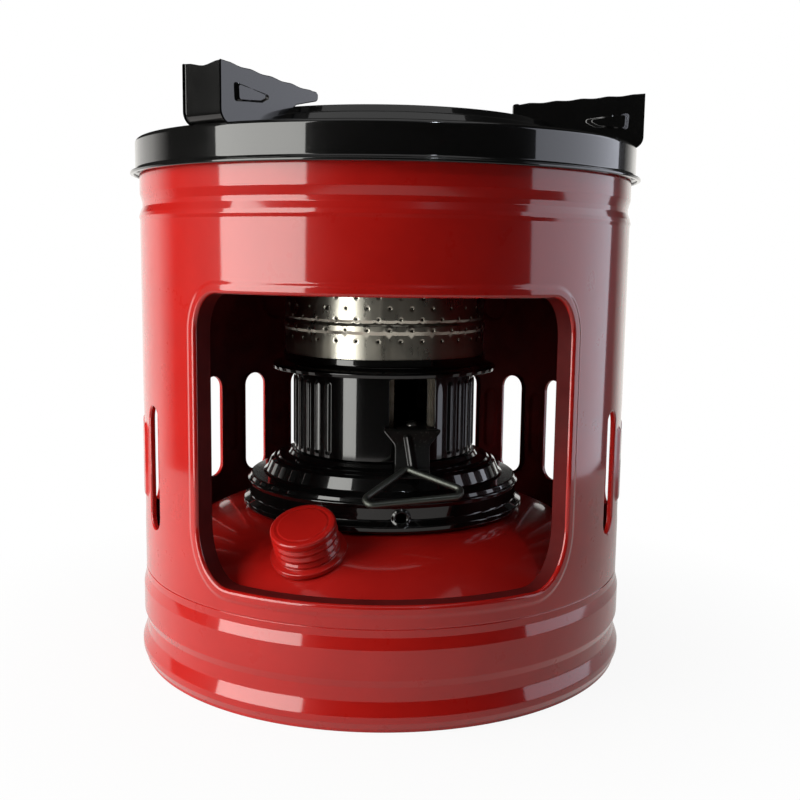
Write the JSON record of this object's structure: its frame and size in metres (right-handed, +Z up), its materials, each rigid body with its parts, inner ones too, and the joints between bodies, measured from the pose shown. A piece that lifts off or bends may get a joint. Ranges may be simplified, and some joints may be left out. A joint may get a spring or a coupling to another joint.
{
  "type": "kerosene heater",
  "caption": "Round kerosene wick heater and stove: drum casing with a front window, tank with screw cap, burner with lift lever, perforated flame sleeves and swivelling pot supports.",
  "frame": {"origin": "on the vertical axis of the drum, at the level of the foot", "axes": "+Z up; the window faces -Y, so +X is the viewer's right"},
  "size_m": [0.2446, 0.2446, 0.2703],
  "materials": {
    "red_paint": "gloss",
    "black_enamel": "gloss",
    "bright_steel": "satin",
    "plated_steel": "satin",
    "wire_steel": "dull",
    "cotton_wick": "matt",
    "seal_rubber": "matt"
  },
  "bodies": {
    "casing": {"base_shell": "red_paint", "outer_casing": "red_paint", "tank_top": "red_paint", "tank_bottom": "red_paint", "tank_brackets": "red_paint", "filler_neck": "plated_steel", "burner_base": "black_enamel", "burner_body": "black_enamel", "burner_head": "black_enamel", "sleeve_seat": "black_enamel", "wick_tubes_lower": "plated_steel", "wick_tubes_upper": "plated_steel", "guide_rods": "plated_steel", "rod_nuts": "plated_steel"},
    "wick_lift": {"wick_carrier": "plated_steel", "wicks": "cotton_wick", "wick_lever": "black_enamel", "lever_rivets": "plated_steel", "lever_handle": "wire_steel"},
    "flame_drum": {"outer_sleeve": "bright_steel", "inner_sleeve": "bright_steel", "flame_spreader": "bright_steel", "cross_pins": "plated_steel"},
    "cap_seat": {"cap_seal": "seal_rubber"},
    "cap": {"filler_cap": "red_paint"},
    "cover": {"top_cover": "black_enamel", "support_rivets": "plated_steel", "support_washers": "plated_steel"},
    "support_1": {"pot_support_1": "black_enamel"},
    "support_2": {"pot_support_2": "black_enamel"},
    "support_3": {"pot_support_3": "black_enamel"}
  },
  "joints": [
    {"name": "wick_raise", "type": "slide", "parent": "casing", "child": "wick_lift", "axis": [0, 0, 1], "range_m": [0, 0.02]},
    {"name": "drum_lift", "type": "slide", "parent": "casing", "child": "flame_drum", "axis": [0, 0, 1], "range_m": [0, 0.11]},
    {"name": "cap_lift", "type": "slide", "parent": "casing", "child": "cap_seat", "axis": [-0.1585, -0.4003, 0.9026], "range_m": [0, 0.0096]},
    {"name": "cap_turn", "type": "hinge", "parent": "cap_seat", "child": "cap", "pos_m": [-0.03177, -0.08024, 0.0648], "axis": [-0.1585, -0.4003, 0.9026], "range_deg": [0, 1080]},
    {"name": "cover_lift", "type": "slide", "parent": "casing", "child": "cover", "axis": [0, 0, 1], "range_m": [0, 0.06]},
    {"name": "support_1_swivel", "type": "hinge", "parent": "cover", "child": "support_1", "pos_m": [-0.06259, -0.08306, 0.2465], "axis": [0, 0, 1], "range_deg": [0, 90]},
    {"name": "support_2_swivel", "type": "hinge", "parent": "cover", "child": "support_2", "pos_m": [0.10322, -0.01267, 0.2465], "axis": [0, 0, 1], "range_deg": [0, 90]},
    {"name": "support_3_swivel", "type": "hinge", "parent": "cover", "child": "support_3", "pos_m": [-0.04064, 0.09573, 0.2465], "axis": [0, 0, 1], "range_deg": [0, 90]}
  ],
  "couplings": [
    {"joint": "cap_lift", "follows": "cap_turn", "m_per_rad": 0.00050925}
  ]
}
